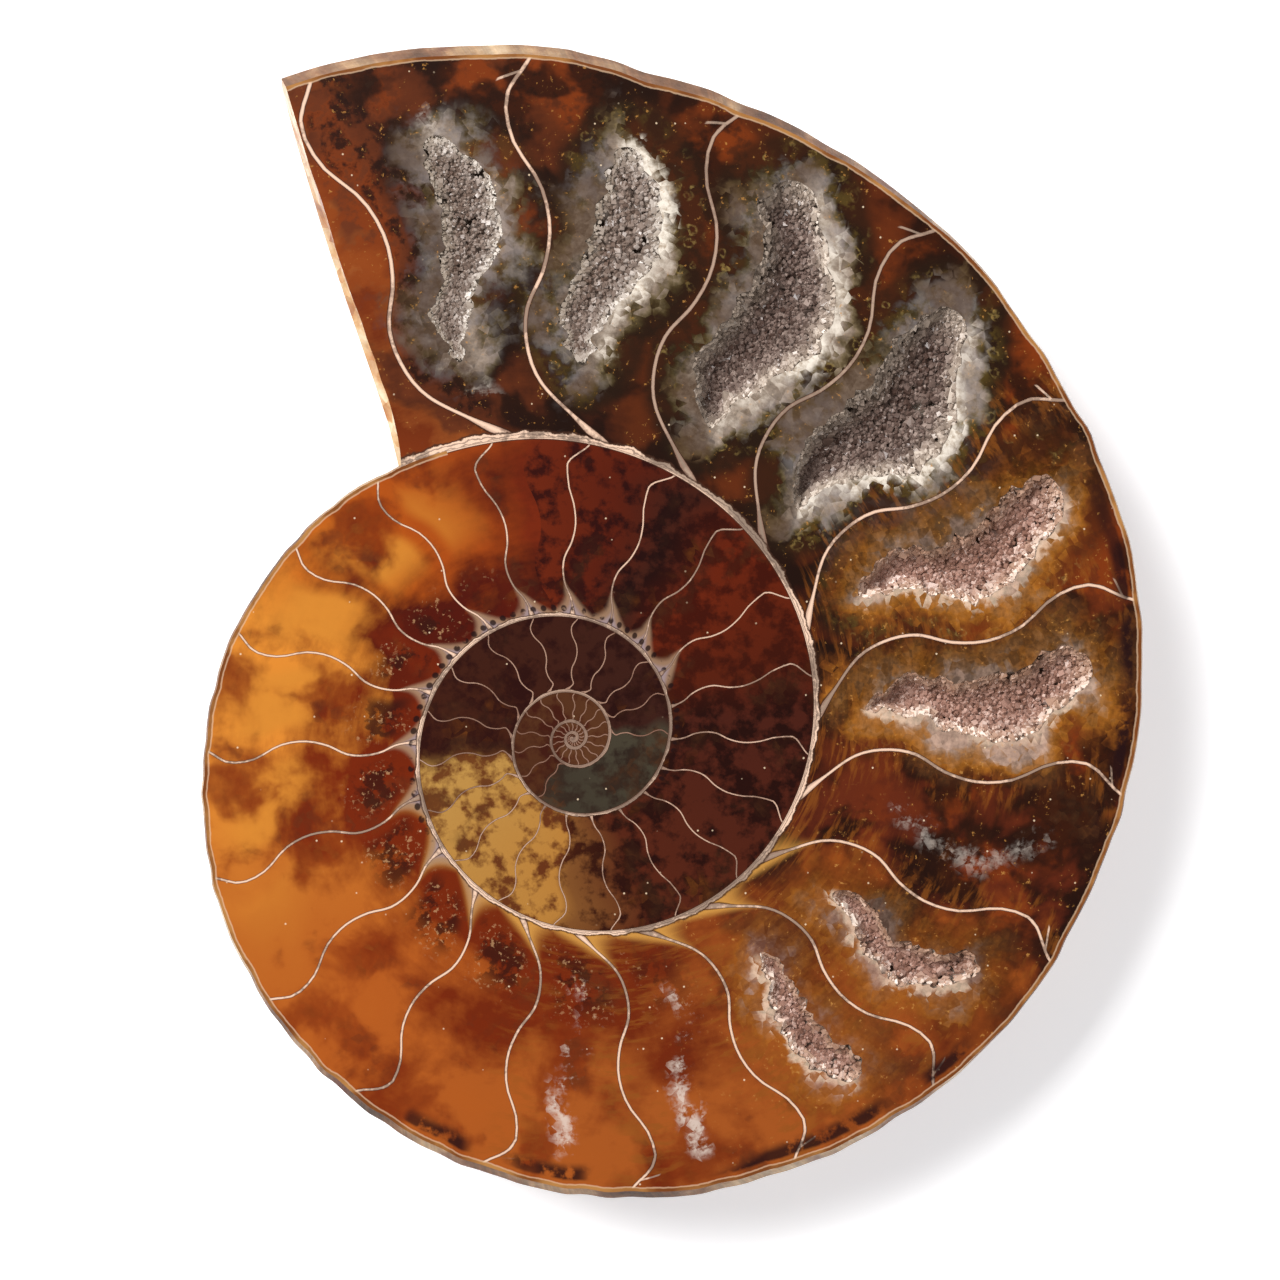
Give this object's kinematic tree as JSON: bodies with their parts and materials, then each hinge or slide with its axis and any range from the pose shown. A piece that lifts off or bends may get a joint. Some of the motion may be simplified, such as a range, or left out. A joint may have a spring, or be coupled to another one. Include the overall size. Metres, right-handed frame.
{
  "type": "ammonite fossil",
  "caption": "Half of an ammonite fossil sawn through its coil: a polished face with curved chamber walls and crystal-lined hollows, and a rounded, faintly ribbed shell behind.",
  "frame": {"origin": "under the middle of the outline, on the surface that the natural side rests on", "axes": "+Z out of the polished face, +Y along the long way of the outline, towards the broken end of the last whorl"},
  "size_m": [0.0812, 0.0996, 0.0145],
  "materials": {
    "polished_ammonite": "polished on the sawn face, satin on the natural shell",
    "calcite_crystals": "small glassy crystal faces"
  },
  "bodies": {
    "root": {"ammonite_half": "polished_ammonite", "crystal_crust_1": "calcite_crystals", "crystal_crust_2": "calcite_crystals", "crystal_crust_3": "calcite_crystals", "crystal_crust_4": "calcite_crystals", "crystal_crust_5": "calcite_crystals", "crystal_crust_6": "calcite_crystals", "crystal_crust_7": "calcite_crystals", "crystal_crust_8": "calcite_crystals"}
  },
  "joints": []
}
